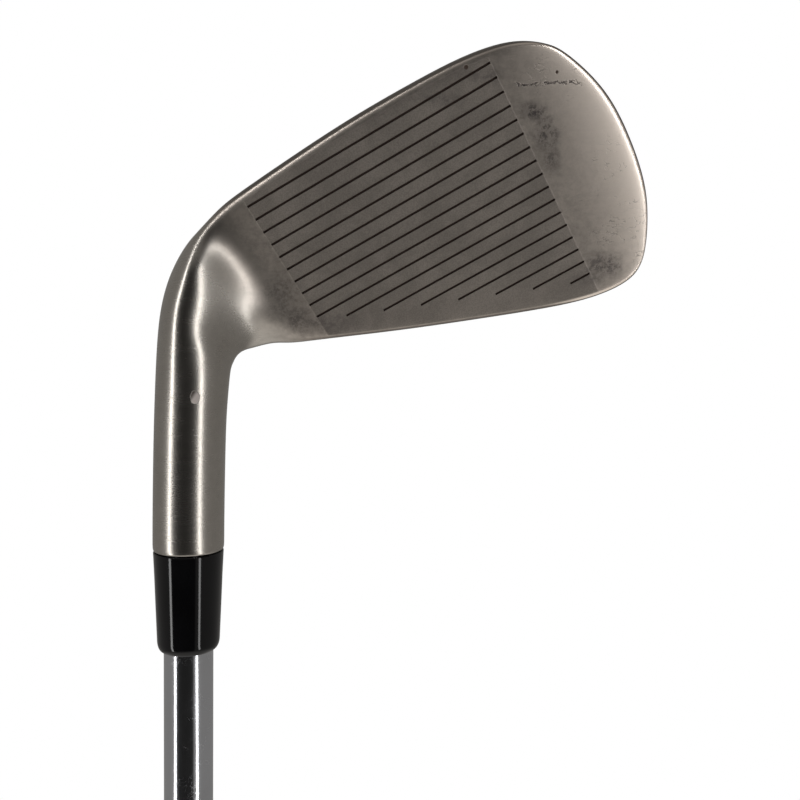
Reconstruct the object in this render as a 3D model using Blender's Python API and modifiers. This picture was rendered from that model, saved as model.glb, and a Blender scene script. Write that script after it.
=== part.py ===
"""Iron golf club, held head up and grip down, as separate solids.

World axes: +Z runs up the shaft from the grip's butt to the head, +X is the side the blade's toe
lies on, -Y is the way the striking face looks. The origin is the middle of the grip's butt.
"""

import math

import bmesh
import bpy
from mathutils import Matrix, Vector

COLLECTION = "iron_golf_club"
CUTTERS = "cutters"
MM = 0.001
TURNED_SIDES = 32
MERGE_DISTANCE = 0.00001
CORNER_STEPS = 5
SHARP_DEGREES = 30

# The club: lengths along the shaft axis, in metres
CLUB_LENGTH = 0.978
HOSEL_LENGTH = 0.064
JOINT_Z = CLUB_LENGTH - HOSEL_LENGTH

# The head's attitude at the ball
LIE = math.radians(61)
LOFT = math.radians(23)
FACE_PROGRESSION = 0.00446

# Hosel and its socket
HOSEL_RADIUS = 0.00674
SOCKET_RADIUS = 0.0051
SOCKET_DEPTH = 0.0335
HEEL_TURN_X = 0.0133
HEEL_TURN_Z = JOINT_Z + 0.034

# The head's sections, in millimetres and degrees
# Hosel: height above its mouth, lean toward the toe
HOSEL_SECTIONS = ((0, 0), (0.8, 0), (10, 0.05), (19, 0.2), (27, 0.4))
# Heel: angle round the crotch, distance to the near and far side, nose radius and set-back,
# spread, and how far the front is drawn in on the sole side and let out on the other
HEEL_SECTIONS = (
    (5, 5.4, 19.5, 6.5, 0.5, 0.0, 0.14, 0.04),
    (20, 5.3, 20.4, 5.5, 1.6, 0.5, 0.24, 0.21),
    (34, 5.6, 22.4, 4.7, 2.6, 0.85, 0.30, 0.33),
    (48, 5.8, 25.2, 3.9, 4.2, 1.0, 0.34, 0.33),
    (61, 5.5, 28.0, 3.2, 6.7, 1.0, 0.36, 0.32),
)
ROOT_RIDGE = (0.33, 0.31)
# Where the heel flattens into the blade: along, low edge, high edge, tube radius, share of blade
ROOT_SECTIONS = (
    (0.5, 2.4, 29.2, 6.2, 0.28),
    (3.5, 1.9, 30.9, 5.2, 0.66),
    (7.0, 1.3, 32.0, 4.2, 0.93),
)
ROOT_TOP_WIDTH = 0.0059
ROOT_SOLE_WIDTH = 0.0155
ROOT_NOSE_RADIUS = 0.0030
ROOT_NOSE_DEPTH = 0.0029
# Blade: low edge (along, up), high edge (along, up), bow to the toe, topline and sole thickness,
# and how far the face eases back
BLADE_SECTIONS = (
    ((11.5, 0.95), (11.5, 33.7), 0, 5.9, 15.5, 0),
    ((24.0, 0.25), (24.0, 39.1), 0, 5.8, 16.0, 0),
    ((36.0, -0.2), (37.0, 44.2), 0.3, 5.8, 16.5, 0),
    ((48.0, 0.05), (49.0, 48.8), 2.0, 5.8, 16.5, 0),
    ((57.5, 0.5), (57.5, 51.7), 4.0, 5.8, 16.0, 0),
    ((64.8, 1.8), (64.5, 53.0), 5.8, 5.8, 15.0, 0.03),
    ((69.4, 3.8), (70.2, 52.5), 6.6, 5.8, 13.5, 0.20),
    ((73.2, 6.9), (72.8, 48.8), 7.0, 5.8, 12.5, 0.60),
)
BOW_POWER = 3.3
# Rows up the blade: first and last are the edges, the next ones in hold the rims' rounding
ROWS = 7
LOW_RIM = 0.0026
HIGH_RIM = 0.0022
MIDDLE_ROWS = (0.27, 0.5, 0.75)
# How much of the sole's extra thickness each row of the back takes, from the sole up
BACK_SHARES = (1, 0.83, 0.62, 0.5, 0.40, 0.02, 0)
SOLE_RISE = 0.38
SOLE_RISE_FROM = 0.006
SOLE_RISE_POWER = 6
# The sole's two middle points: height over the low edge, share of the sole's width
SOLE_POINTS = ((0.0045, 0.68), (-0.0002, 0.34))
# Points round a heel section: shares along its front flat and its back flat, shares of the way
# round the nose, turns past the back flat, and places on the sole side, in degrees
FRONT_FLAT = (0.22, 0.60, 0.98)
NOSE_TURNS = (0.36, 0.64)
BACK_FLAT = (0.96, 0.60, 0.22)
BACK_TURNS = (14, 34)
SOLE_TURNS = (315, 331, 349, 369)
NOSE_START = 110
NOSE_SPAN = 140
RING_POINTS = 18
RING_START = 30
RING_STEP = math.radians(360 / RING_POINTS)
# A smoothed ring of this many points closes in by this much, so its cage stands out by as much
RING_SWELL = 6 / (4 + 2 * math.cos(RING_STEP))

# Grooves: cut across the face from the heel line to the toe line
GROOVE_COUNT = 17
GROOVE_PITCH = 0.002706
FIRST_GROOVE = 0.00382
GROOVE_WIDTH = 0.0006
GROOVE_DEPTH = 0.0005
HEEL_LINE = 0.01135
TOE_LINE = 0.06178
TOP_MARGIN_HEEL = 0.0312
TOP_MARGIN_SLOPE = 0.395
TOP_MARGIN_START = 0.0173

# Back cavity: blade sections it spans, back rows it spans, wall of steel left behind the face
CAVITY_FIRST_SECTION = 13
CAVITY_LAST_SECTION = 18
CAVITY_FIRST_ROW = 10
CAVITY_LAST_ROW = 14
CAVITY_LIP = 0.0012
CAVITY_WALL_RUN = 0.0014
CAVITY_FLOOR_DEPTH = 0.0042

# Ferrule
FERRULE_LENGTH = 0.0192
FERRULE_TOP_RADIUS = 0.00665
FERRULE_WAIST_RADIUS = 0.00625
FERRULE_FOOT_RADIUS = 0.00595
FERRULE_END_RADIUS = 0.00512
FERRULE_BORE_RADIUS = 0.00486
FERRULE_ROUND_LENGTH = 0.0020
SEAT_GAP = 0.0003

# Shaft: a stepped steel tube
TIP_RADIUS = 0.0047
TIP_BORE_RADIUS = 0.0036
SHAFT_TOP_Z = JOINT_Z + 0.032
SHAFT_BOTTOM_Z = 0.0034
FIRST_STEP_Z = SHAFT_TOP_Z - 0.230
STEP_PITCH = 0.0381
STEP_COUNT = 11
STEP_RISE = 0.000265
STEP_LENGTH = 0.0012
BUTT_RADIUS = TIP_RADIUS + STEP_COUNT * STEP_RISE
BUTT_WALL = 0.0005
BUTT_BORE_RADIUS = BUTT_RADIUS - BUTT_WALL
BORE_TAPER_LOW_Z = 0.300
BORE_TAPER_HIGH_Z = SHAFT_TOP_Z - 0.210

# Adhesive sleeve and swing-weight plug at the tip
EPOXY_INNER_RADIUS = 0.00482
EPOXY_OUTER_RADIUS = 0.00498
EPOXY_BOTTOM_Z = JOINT_Z + 0.0005
EPOXY_TOP_Z = JOINT_Z + 0.0305
PLUG_RADIUS = 0.0033
PLUG_LENGTH = 0.016
PLUG_HEAD_RADIUS = 0.0044
PLUG_HEAD_LENGTH = 0.0006

# Shaft band, grip tape, grip and cap
BAND_TOP_Z = 0.325
BAND_BOTTOM_Z = 0.280
BAND_THICKNESS = 0.00015
LAYER_GAP = 0.00012
TAPE_TOP_Z = 0.262
TAPE_BOTTOM_Z = 0.008
TAPE_THICKNESS = 0.0004
GRIP_TOP_Z = 0.267
GRIP_MOUTH_RADIUS = 0.0094
GRIP_NECK_RADIUS = 0.0099
GRIP_BUTT_RADIUS = 0.0133
GRIP_NECK_LENGTH = 0.006
GRIP_FLARE_LENGTH = 0.020
GRIP_LIP_HEIGHT = 0.0004
GRIP_LIP_EASE = 0.0003
GRIP_WAIST_SHARE = 0.36
GRIP_FLARE_DROP = 0.0009
GRIP_HEEL_HEIGHT = 0.004
CAP_RADIUS = 0.0134
CAP_THICKNESS = 0.0030
CAP_EDGE_RADIUS = 0.0018
CAP_SPIGOT_RADIUS = 0.0058
CAP_SPIGOT_LENGTH = 0.006
VENT_RADIUS = 0.0015

TOE_WAY = Vector((math.sin(LIE), 0, math.cos(LIE)))
TOP_WAY = Vector((math.cos(LIE), 0, -math.sin(LIE)))
FRONT_WAY = Vector((0, -1, 0))
FACE_OUT = FRONT_WAY * math.cos(LOFT) + TOP_WAY * math.sin(LOFT)
FACE_UP = TOP_WAY * math.cos(LOFT) - FRONT_WAY * math.sin(LOFT)
FACE_ORIGIN = Vector((0, 0, CLUB_LENGTH)) + FACE_OUT * FACE_PROGRESSION


# ---------------------------------------------------------------- scene helpers

def clear_scene():
    for item in list(bpy.data.objects):
        bpy.data.objects.remove(item)


def new_collection(name):
    collection = bpy.data.collections.new(name)
    bpy.context.scene.collection.children.link(collection)
    return collection


def material(name, colour, metallic, roughness):
    made = bpy.data.materials.new(name)
    made.use_nodes = True
    shader = made.node_tree.nodes["Principled BSDF"]
    shader.inputs["Base Color"].default_value = (*colour, 1)
    shader.inputs["Metallic"].default_value = metallic
    shader.inputs["Roughness"].default_value = roughness
    made.diffuse_color = (*colour, 1)
    return made


def add_object(name, mesh, finish, collection):
    piece = bpy.data.objects.new(name, mesh)
    mesh.materials.append(finish)
    collection.objects.link(piece)
    return piece


def turned(name, profile, finish, collection, closed=True):
    """A profile of (radius, height) points, top to bottom on its outer side, spun about Z."""
    points = [(radius, 0, height) for radius, height in profile]
    edges = [(index, index + 1) for index in range(len(points) - 1)]
    if closed:
        edges.append((len(points) - 1, 0))
    mesh = bpy.data.meshes.new(name)
    mesh.from_pydata(points, edges, [])
    piece = add_object(name, mesh, finish, collection)
    screw = piece.modifiers.new("turn", "SCREW")
    screw.steps = TURNED_SIDES
    screw.render_steps = TURNED_SIDES
    screw.use_merge_vertices = True
    screw.merge_threshold = MERGE_DISTANCE
    screw.use_smooth_shade = True
    return piece


def sleeve(inner_radius, outer_radius, bottom, top):
    """The profile of a plain tube."""
    return [(outer_radius, top), (outer_radius, bottom), (inner_radius, bottom), (inner_radius, top)]


def cut(piece, cutter):
    boolean = piece.modifiers.new("cut", "BOOLEAN")
    boolean.operation = "DIFFERENCE"
    boolean.solver = "EXACT"
    boolean.object = cutter
    cutter.hide_render = True
    cutter.display_type = "WIRE"


# ---------------------------------------------------------------- the head

def finish_mesh(piece):
    """Turn the piece's modifiers into plain mesh, smooth but for its sharp edges."""
    view = bpy.context.evaluated_depsgraph_get()
    piece.data = bpy.data.meshes.new_from_object(piece.evaluated_get(view))
    piece.modifiers.clear()
    piece.data.shade_smooth()
    piece.data.set_sharp_from_angle(angle=math.radians(SHARP_DEGREES))


def on_head(along, up, depth):
    """A point from its distance toward the toe, up the face, and in behind the face plane."""
    return FACE_ORIGIN + TOE_WAY * along + FACE_UP * up - FACE_OUT * depth




def circle_point(centre, across, radius, degrees, ridge=(0, 0)):
    """A point at an angle from the sole side, turning over the front, swollen to allow for smoothing."""
    angle = math.radians(degrees)
    reshaped = -ridge[0] if math.cos(angle) > 0 else ridge[1]
    side = across * (math.cos(angle) * (1 + reshaped * max(math.sin(angle), 0) ** 2))
    front = FRONT_WAY * math.sin(angle)
    return centre + (side + front) * (radius * RING_SWELL)


def round_ring(centre, across, radius):
    """Points around the hosel, from its sole side over the front, the crotch side and the back."""
    turns = [RING_START + index * 360 / RING_POINTS for index in range(RING_POINTS)]
    return [circle_point(centre, across, radius, turn) for turn in turns]


def heel_ring(tube, tube_radius, nose, nose_radius, across, spread, ridge):
    """The outline round two circles: the hosel's tube, and the thinner nose that becomes the topline.

    Spread runs from 0, points evenly round the circles, to 1, points shared along the flats between.
    """
    apart = nose - tube
    lean = math.degrees(math.atan2(apart.dot(FRONT_WAY), apart.dot(across)))
    open_angle = math.degrees(math.acos((tube_radius - nose_radius) / apart.length))
    front_flat = (lean - open_angle) % 360
    back_flat = (lean + open_angle) % 360
    tube_step = (front_flat - RING_START) / 4
    turns = [(RING_START + step * tube_step, 0) for step in range(4)]
    turns += [(front_flat, share) for share in FRONT_FLAT]
    turns += [(front_flat + (back_flat - front_flat) * share, 1) for share in NOSE_TURNS]
    turns += [(back_flat, share) for share in BACK_FLAT]
    turns += [(back_flat + turn, 0) for turn in BACK_TURNS]
    turns += [(turn, 0) for turn in SOLE_TURNS]
    ring = []
    for index, (degrees, share) in enumerate(turns):
        even = RING_START + index * 360 / RING_POINTS
        past_front = min(max(even - NOSE_START, 0), NOSE_SPAN) / NOSE_SPAN
        even_share = 0.5 - 0.5 * math.cos(math.tau * past_front)
        flats = circle_point(tube, across, tube_radius, degrees, ridge).lerp(
            circle_point(nose, across, nose_radius, degrees), share)
        rounds = circle_point(tube, across, tube_radius, even, ridge).lerp(
            circle_point(nose, across, nose_radius, even), even_share)
        ring.append(rounds.lerp(flats, spread))
    return ring


def blade_ring(low, high, bow, top_width, sole_width, eased=0.0):
    """A section of the blade between two (along, up) points, the middle bowed out to the toe."""
    height = high[1] - low[1]
    shares = (0, LOW_RIM / height, *MIDDLE_ROWS, 1 - HIGH_RIM / height, 1)

    def place(share, depth):
        along = low[0] + (high[0] - low[0]) * share + bow * (1 - abs(2 * share - 1) ** BOW_POWER)
        return on_head(along, low[1] + height * share, depth)

    front = [place(share, eased) for share in shares]
    top = [place(1, top_width * third / 3) for third in (1, 2)]
    back = []
    for share, thicker in zip(shares, BACK_SHARES):
        thickness = top_width + (sole_width - top_width) * thicker
        lift = SOLE_RISE * (sole_width - SOLE_RISE_FROM) * (1 - share) ** SOLE_RISE_POWER / height
        back.append(place(share + lift, thickness))
    back.reverse()
    sole = [place(rise / height, sole_width * share) for rise, share in SOLE_POINTS]
    return front + top + back + sole


def mixed_ring(ring_a, ring_b, share):
    return [a.lerp(b, share) for a, b in zip(ring_a, ring_b)]


def head_rings():
    """Sections from the hosel's mouth, round the heel and out to the toe."""
    rings = []
    for height, lean in HOSEL_SECTIONS:
        centre = Vector((lean * MM, 0, JOINT_Z + height * MM))
        rings.append(round_ring(centre, Vector((-1, 0, 0)), HOSEL_RADIUS))
    pivot = Vector((HEEL_TURN_X, 0, HEEL_TURN_Z))
    for degrees, inner, outer, nose_radius, back, spread, *ridge in HEEL_SECTIONS:
        turn = math.radians(degrees)
        across = Vector((-math.cos(turn), 0, math.sin(turn)))
        tube = pivot + across * (outer * MM - HOSEL_RADIUS)
        nose = pivot + across * ((inner + nose_radius) * MM) - FRONT_WAY * (back * MM)
        rings.append(heel_ring(tube, HOSEL_RADIUS, nose, nose_radius * MM, across, spread, ridge))
    for along, low, high, tube_radius, share in ROOT_SECTIONS:
        flat = blade_ring(
            (along * MM, low * MM), (along * MM, high * MM), 0, ROOT_TOP_WIDTH, ROOT_SOLE_WIDTH)
        edge = on_head(along * MM, low * MM, 0)
        top = on_head(along * MM, high * MM, ROOT_NOSE_DEPTH)
        tube = Vector((edge.x, 0, edge.z)) + TOP_WAY * (tube_radius * MM)
        nose = top - TOP_WAY * ROOT_NOSE_RADIUS
        rounded = heel_ring(tube, tube_radius * MM, nose, ROOT_NOSE_RADIUS, -TOP_WAY, 1, ROOT_RIDGE)
        rings.append(mixed_ring(rounded, flat, share))
    for low, high, bow, top_width, sole_width, eased in BLADE_SECTIONS:
        rings.append(blade_ring(
            (low[0] * MM, low[1] * MM), (high[0] * MM, high[1] * MM),
            bow * MM, top_width * MM, sole_width * MM, eased * MM))
    return rings


def toe_wall(bm, ring):
    """Close the last section with a grid of faces between its front and its back."""
    front = ring[:ROWS]
    back = ring[ROWS + 2:2 * ROWS + 2][::-1]
    columns = [front]
    for third, ends in ((1, (ring[17], ring[7])), (2, (ring[16], ring[8]))):
        middle = [ends[0]]
        for low, high in zip(front[1:-1], back[1:-1]):
            middle.append(bm.verts.new(low.co.lerp(high.co, third / 3)))
        columns.append(middle + [ends[1]])
    columns.append(back)
    for left, right in zip(columns, columns[1:]):
        for row in range(ROWS - 1):
            bm.faces.new((left[row], right[row], right[row + 1], left[row + 1]))


def back_cavity(bm, walls):
    """Sink the middle of the back to a flat floor, behind a lip and a sloping wall."""
    region = [
        walls[section][row]
        for section in range(CAVITY_FIRST_SECTION, CAVITY_LAST_SECTION)
        for row in range(CAVITY_FIRST_ROW, CAVITY_LAST_ROW)
    ]
    bmesh.ops.inset_region(bm, faces=region, thickness=CAVITY_LIP, use_even_offset=True)
    bmesh.ops.inset_region(bm, faces=region, thickness=CAVITY_WALL_RUN, use_even_offset=True)
    floor = {vertex for face in region for vertex in face.verts}
    for vertex in floor:
        depth = (FACE_ORIGIN - vertex.co).dot(FACE_OUT)
        vertex.co += FACE_OUT * (depth - CAVITY_FLOOR_DEPTH)
    bmesh.ops.inset_region(bm, faces=region, thickness=CAVITY_WALL_RUN, use_even_offset=True)


def head_cage():
    bm = bmesh.new()
    crease = bm.edges.layers.float.new("crease_edge")
    rings = [[bm.verts.new(point) for point in ring] for ring in head_rings()]
    walls = []
    for ring, following in zip(rings, rings[1:]):
        wall = []
        for index in range(RING_POINTS):
            after = (index + 1) % RING_POINTS
            wall.append(bm.faces.new((ring[index], following[index], following[after], ring[after])))
        walls.append(wall)
    mouth = bm.faces.new(rings[0])
    for edge in mouth.edges:
        edge[crease] = 1.0
    toe_wall(bm, rings[-1])
    bmesh.ops.recalc_face_normals(bm, faces=bm.faces)
    back_cavity(bm, walls)
    mesh = bpy.data.meshes.new("club_head")
    bm.to_mesh(mesh)
    bm.free()
    return mesh


def groove_starts():
    """Each groove's height up the face and its heel end: the upper ones stop short of the topline."""
    for number in range(GROOVE_COUNT):
        up = FIRST_GROOVE + number * GROOVE_PITCH
        margin = TOP_MARGIN_START + (up - TOP_MARGIN_HEEL) / TOP_MARGIN_SLOPE
        yield up, max(HEEL_LINE, margin)


def groove_cutter(finish, collection):
    """One bar for each groove, standing half out of the face."""
    bm = bmesh.new()
    turn = Matrix((FACE_UP, TOE_WAY, FACE_OUT)).transposed().to_4x4()
    for up, start in groove_starts():
        middle = on_head((start + TOE_LINE) / 2, up, 0)
        size = Matrix.Diagonal((GROOVE_WIDTH, TOE_LINE - start, GROOVE_DEPTH * 2, 1))
        bmesh.ops.create_cube(bm, size=1, matrix=Matrix.Translation(middle) @ turn @ size)
    mesh = bpy.data.meshes.new("groove_cutter")
    bm.to_mesh(mesh)
    bm.free()
    return add_object("groove_cutter", mesh, finish, collection)


def socket_cutter(finish, collection):
    length = SOCKET_DEPTH * 2
    bm = bmesh.new()
    bmesh.ops.create_cone(
        bm, cap_ends=True, segments=TURNED_SIDES, radius1=SOCKET_RADIUS, radius2=SOCKET_RADIUS,
        depth=length, matrix=Matrix.Translation((0, 0, JOINT_Z)))
    mesh = bpy.data.meshes.new("socket_cutter")
    bm.to_mesh(mesh)
    bm.free()
    return add_object("socket_cutter", mesh, finish, collection)


def club_head(collection, cutters):
    steel = material("forged_steel", (0.42, 0.40, 0.37), 1.0, 0.32)
    head = add_object("club_head", head_cage(), steel, collection)
    subdivision = head.modifiers.new("round", "SUBSURF")
    subdivision.levels = 1
    subdivision.render_levels = 1
    cut(head, socket_cutter(steel, cutters))
    cut(head, groove_cutter(steel, cutters))
    finish_mesh(head)


# ---------------------------------------------------------------- turned pieces

def ferrule(collection):
    top = JOINT_Z - SEAT_GAP
    bottom = top - FERRULE_LENGTH
    shoulder = bottom + FERRULE_ROUND_LENGTH
    profile = [(FERRULE_TOP_RADIUS, top), (FERRULE_WAIST_RADIUS, (top + bottom) / 2)]
    for step in range(CORNER_STEPS + 1):
        angle = math.radians(90 * step / CORNER_STEPS)
        radius = FERRULE_END_RADIUS + (FERRULE_FOOT_RADIUS - FERRULE_END_RADIUS) * math.cos(angle)
        profile.append((radius, shoulder - FERRULE_ROUND_LENGTH * math.sin(angle)))
    profile += [(FERRULE_BORE_RADIUS, bottom), (FERRULE_BORE_RADIUS, top)]
    finish = material("black_acetate", (0.008, 0.008, 0.010), 0.0, 0.18)
    return turned("ferrule", profile, finish, collection)


def shaft(collection):
    """A thin-walled tube that grows by even steps from the tip down to the butt."""
    profile = [(TIP_RADIUS, SHAFT_TOP_Z)]
    for number in range(STEP_COUNT):
        height = FIRST_STEP_Z - number * STEP_PITCH
        radius = TIP_RADIUS + number * STEP_RISE
        profile.append((radius, height))
        profile.append((radius + STEP_RISE, height - STEP_LENGTH))
    profile += [
        (BUTT_RADIUS, SHAFT_BOTTOM_Z),
        (BUTT_BORE_RADIUS, SHAFT_BOTTOM_Z),
        (BUTT_BORE_RADIUS, BORE_TAPER_LOW_Z),
        (TIP_BORE_RADIUS, BORE_TAPER_HIGH_Z),
        (TIP_BORE_RADIUS, SHAFT_TOP_Z),
    ]
    finish = material("chrome_plate", (0.62, 0.62, 0.64), 1.0, 0.06)
    return turned("shaft", profile, finish, collection)


def hosel_epoxy(collection):
    profile = sleeve(EPOXY_INNER_RADIUS, EPOXY_OUTER_RADIUS, EPOXY_BOTTOM_Z, EPOXY_TOP_Z)
    finish = material("epoxy", (0.55, 0.50, 0.38), 0.0, 0.4)
    return turned("hosel_epoxy", profile, finish, collection)


def tip_weight(collection):
    seat = SHAFT_TOP_Z + SEAT_GAP
    profile = [
        (0, seat + PLUG_HEAD_LENGTH),
        (PLUG_HEAD_RADIUS, seat + PLUG_HEAD_LENGTH),
        (PLUG_HEAD_RADIUS, seat),
        (PLUG_RADIUS, seat),
        (PLUG_RADIUS, seat - PLUG_LENGTH),
        (0, seat - PLUG_LENGTH),
    ]
    finish = material("brass", (0.60, 0.44, 0.18), 1.0, 0.35)
    return turned("tip_weight", profile, finish, collection, closed=False)


def shaft_band(collection):
    inner = BUTT_RADIUS + LAYER_GAP
    profile = sleeve(inner, inner + BAND_THICKNESS, BAND_BOTTOM_Z, BAND_TOP_Z)
    finish = material("dark_film", (0.03, 0.035, 0.05), 0.0, 0.3)
    return turned("shaft_band", profile, finish, collection)


def grip_tape(collection):
    inner = BUTT_RADIUS + LAYER_GAP
    profile = sleeve(inner, inner + TAPE_THICKNESS, TAPE_BOTTOM_Z, TAPE_TOP_Z)
    finish = material("paper_tape", (0.75, 0.70, 0.55), 0.0, 0.7)
    return turned("grip_tape", profile, finish, collection)


def grip(collection):
    inner = BUTT_RADIUS + TAPE_THICKNESS + 2 * LAYER_GAP
    bottom = CAP_THICKNESS + SEAT_GAP
    neck = GRIP_TOP_Z - GRIP_NECK_LENGTH
    flare = bottom + GRIP_FLARE_LENGTH
    waist = (neck + flare) / 2
    profile = [
        (GRIP_MOUTH_RADIUS - GRIP_LIP_EASE, GRIP_TOP_Z),
        (GRIP_MOUTH_RADIUS, GRIP_TOP_Z - GRIP_LIP_HEIGHT),
        (GRIP_NECK_RADIUS, neck),
        (GRIP_NECK_RADIUS + (GRIP_BUTT_RADIUS - GRIP_NECK_RADIUS) * GRIP_WAIST_SHARE, waist),
        (GRIP_BUTT_RADIUS - GRIP_FLARE_DROP, flare),
        (GRIP_BUTT_RADIUS, bottom + GRIP_HEEL_HEIGHT),
        (GRIP_BUTT_RADIUS, bottom),
        (inner, bottom),
        (inner, GRIP_TOP_Z),
    ]
    finish = material("black_rubber", (0.018, 0.018, 0.019), 0.0, 0.75)
    return turned("grip", profile, finish, collection)


def grip_cap(collection):
    profile = [
        (VENT_RADIUS, CAP_THICKNESS + CAP_SPIGOT_LENGTH),
        (CAP_SPIGOT_RADIUS, CAP_THICKNESS + CAP_SPIGOT_LENGTH),
        (CAP_SPIGOT_RADIUS, CAP_THICKNESS),
        (CAP_RADIUS, CAP_THICKNESS),
    ]
    for step in range(CORNER_STEPS + 1):
        angle = math.radians(90 * step / CORNER_STEPS)
        radius = CAP_RADIUS - CAP_EDGE_RADIUS * (1 - math.cos(angle))
        profile.append((radius, CAP_EDGE_RADIUS * (1 - math.sin(angle))))
    profile.append((VENT_RADIUS, 0))
    finish = material("hard_rubber", (0.02, 0.02, 0.02), 0.0, 0.55)
    return turned("grip_cap", profile, finish, collection)


def main():
    clear_scene()
    parts = new_collection(COLLECTION)
    cutters = new_collection(CUTTERS)
    club_head(parts, cutters)
    ferrule(parts)
    shaft(parts)
    hosel_epoxy(parts)
    tip_weight(parts)
    shaft_band(parts)
    grip_tape(parts)
    grip(parts)
    grip_cap(parts)


main()
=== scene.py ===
"""Iron golf club: the visual model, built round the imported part.

World axes are the part's: +Z runs up the shaft from the grip's butt to the head, +X is the side
the blade's toe lies on, and -Y is the way the striking face looks.
"""

import math

import bmesh
import bpy
from bpy.props import FloatProperty, FloatVectorProperty, IntProperty, PointerProperty
from mathutils import Matrix, Quaternion, Vector


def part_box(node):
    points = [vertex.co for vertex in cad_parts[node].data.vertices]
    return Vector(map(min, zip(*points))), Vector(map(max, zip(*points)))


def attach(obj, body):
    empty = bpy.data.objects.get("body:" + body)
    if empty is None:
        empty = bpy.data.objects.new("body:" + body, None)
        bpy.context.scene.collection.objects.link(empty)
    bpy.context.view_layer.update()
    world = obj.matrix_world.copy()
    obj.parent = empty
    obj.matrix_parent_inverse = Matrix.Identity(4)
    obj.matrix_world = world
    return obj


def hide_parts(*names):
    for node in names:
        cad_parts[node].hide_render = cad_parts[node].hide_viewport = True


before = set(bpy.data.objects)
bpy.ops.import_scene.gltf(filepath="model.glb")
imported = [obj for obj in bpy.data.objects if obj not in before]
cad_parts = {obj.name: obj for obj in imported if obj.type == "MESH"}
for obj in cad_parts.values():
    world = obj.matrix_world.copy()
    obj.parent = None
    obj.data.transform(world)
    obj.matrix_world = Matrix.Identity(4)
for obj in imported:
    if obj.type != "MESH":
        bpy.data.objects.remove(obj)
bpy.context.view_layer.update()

bl_info = {
    "name": "Iron Golf Club",
    "version": (1, 0, 0),
    "blender": (4, 5, 0),
    "location": "3D View > Sidebar > Iron Club",
    "description": "Builds a forged iron golf club piece by piece, with its finishes and a studio",
    "category": "Add Mesh",
}

MM = 0.001
SHARP_DEGREES = 32
JOINT_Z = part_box("club_head")[0].z
HOSEL_LENGTH = 0.064
CLUB_LENGTH = JOINT_Z + HOSEL_LENGTH

# The head's attitude at the ball
LIE = math.radians(61)
LOFT = math.radians(23)
FACE_PROGRESSION = 0.00446
TOE_WAY = Vector((math.sin(LIE), 0, math.cos(LIE)))
TOP_WAY = Vector((math.cos(LIE), 0, -math.sin(LIE)))
FRONT_WAY = Vector((0, -1, 0))
FACE_OUT = FRONT_WAY * math.cos(LOFT) + TOP_WAY * math.sin(LOFT)
FACE_UP = TOP_WAY * math.cos(LOFT) - FRONT_WAY * math.sin(LOFT)
FACE_ORIGIN = Vector((0, 0, CLUB_LENGTH)) + FACE_OUT * FACE_PROGRESSION

# Where the heel turns from the hosel into the blade
HEEL_TURN_X = 0.0133
HEEL_TURN_Z = JOINT_Z + 0.034

# The head's sections, in millimetres and degrees
# Hosel: height above its mouth, lean toward the toe, how far its mouth is eased
HOSEL_SECTIONS = ((0, 0, 0.22), (0.22, 0, 0), (2.5, 0, 0), (10, 0.05, 0), (19, 0.2, 0), (27, 0.4, 0))
# Heel: angle round the crotch, distance to the near and far side, nose radius and set-back,
# spread, and how far the front is drawn in on the sole side and let out on the other
HEEL_SECTIONS = (
    (5, 5.4, 19.5, 6.5, 0.5, 0.0, 0.14, 0.04),
    (20, 5.3, 20.4, 5.5, 1.6, 0.5, 0.24, 0.21),
    (34, 5.6, 22.4, 4.7, 2.1, 0.7, 0.30, 0.36),
    (48, 5.8, 25.2, 3.9, 3.9, 0.9, 0.34, 0.36),
    (61, 5.5, 28.0, 3.2, 6.7, 1.0, 0.36, 0.32),
)
ROOT_RIDGE = (0.33, 0.31)
# Where the heel flattens into the blade: along, low edge, high edge, tube radius, share of blade
ROOT_SECTIONS = (
    (0.5, 2.4, 29.2, 6.2, 0.28),
    (3.5, 1.9, 30.9, 5.2, 0.66),
    (7.0, 1.3, 32.0, 4.2, 0.93),
)
ROOT_TOP_WIDTH = 0.0059
ROOT_SOLE_WIDTH = 0.0155
ROOT_NOSE_RADIUS = 0.0030
ROOT_NOSE_DEPTH = 0.0029
# Blade: low edge (along, up), high edge (along, up), bow to the toe, topline and sole thickness,
# and how far the face eases back
BLADE_SECTIONS = (
    ((11.5, 0.95), (11.5, 33.7), 0, 5.9, 15.5, 0),
    ((24.0, 0.25), (24.0, 39.1), 0, 5.8, 16.0, 0),
    ((36.0, -0.2), (37.0, 44.2), 0.3, 5.8, 16.5, 0),
    ((48.0, 0.05), (49.0, 48.8), 2.0, 5.8, 16.5, 0),
    ((57.5, 0.5), (57.5, 51.7), 4.0, 5.8, 16.0, 0),
    ((64.8, 1.8), (64.5, 53.0), 5.8, 5.8, 15.0, 0.03),
    ((69.4, 3.8), (70.2, 52.5), 6.6, 5.8, 13.5, 0.20),
    ((73.2, 6.9), (72.8, 48.8), 7.0, 5.8, 12.5, 0.60),
)
BOW_POWER = 3.3
# Rows up the blade: first and last are the edges, the next ones in hold the rims' rounding
ROWS = 7
LOW_RIM = 0.0026
HIGH_RIM = 0.0022
MIDDLE_ROWS = (0.27, 0.5, 0.75)
# How much of the sole's extra thickness each row of the back takes, from the sole up
BACK_SHARES = (1, 0.83, 0.62, 0.5, 0.40, 0.02, 0)
SOLE_RISE = 0.38
SOLE_RISE_FROM = 0.006
SOLE_RISE_POWER = 6
# The sole's two middle points: height over the low edge, share of the sole's width
SOLE_POINTS = ((0.0045, 0.68), (-0.0002, 0.34))
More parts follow.
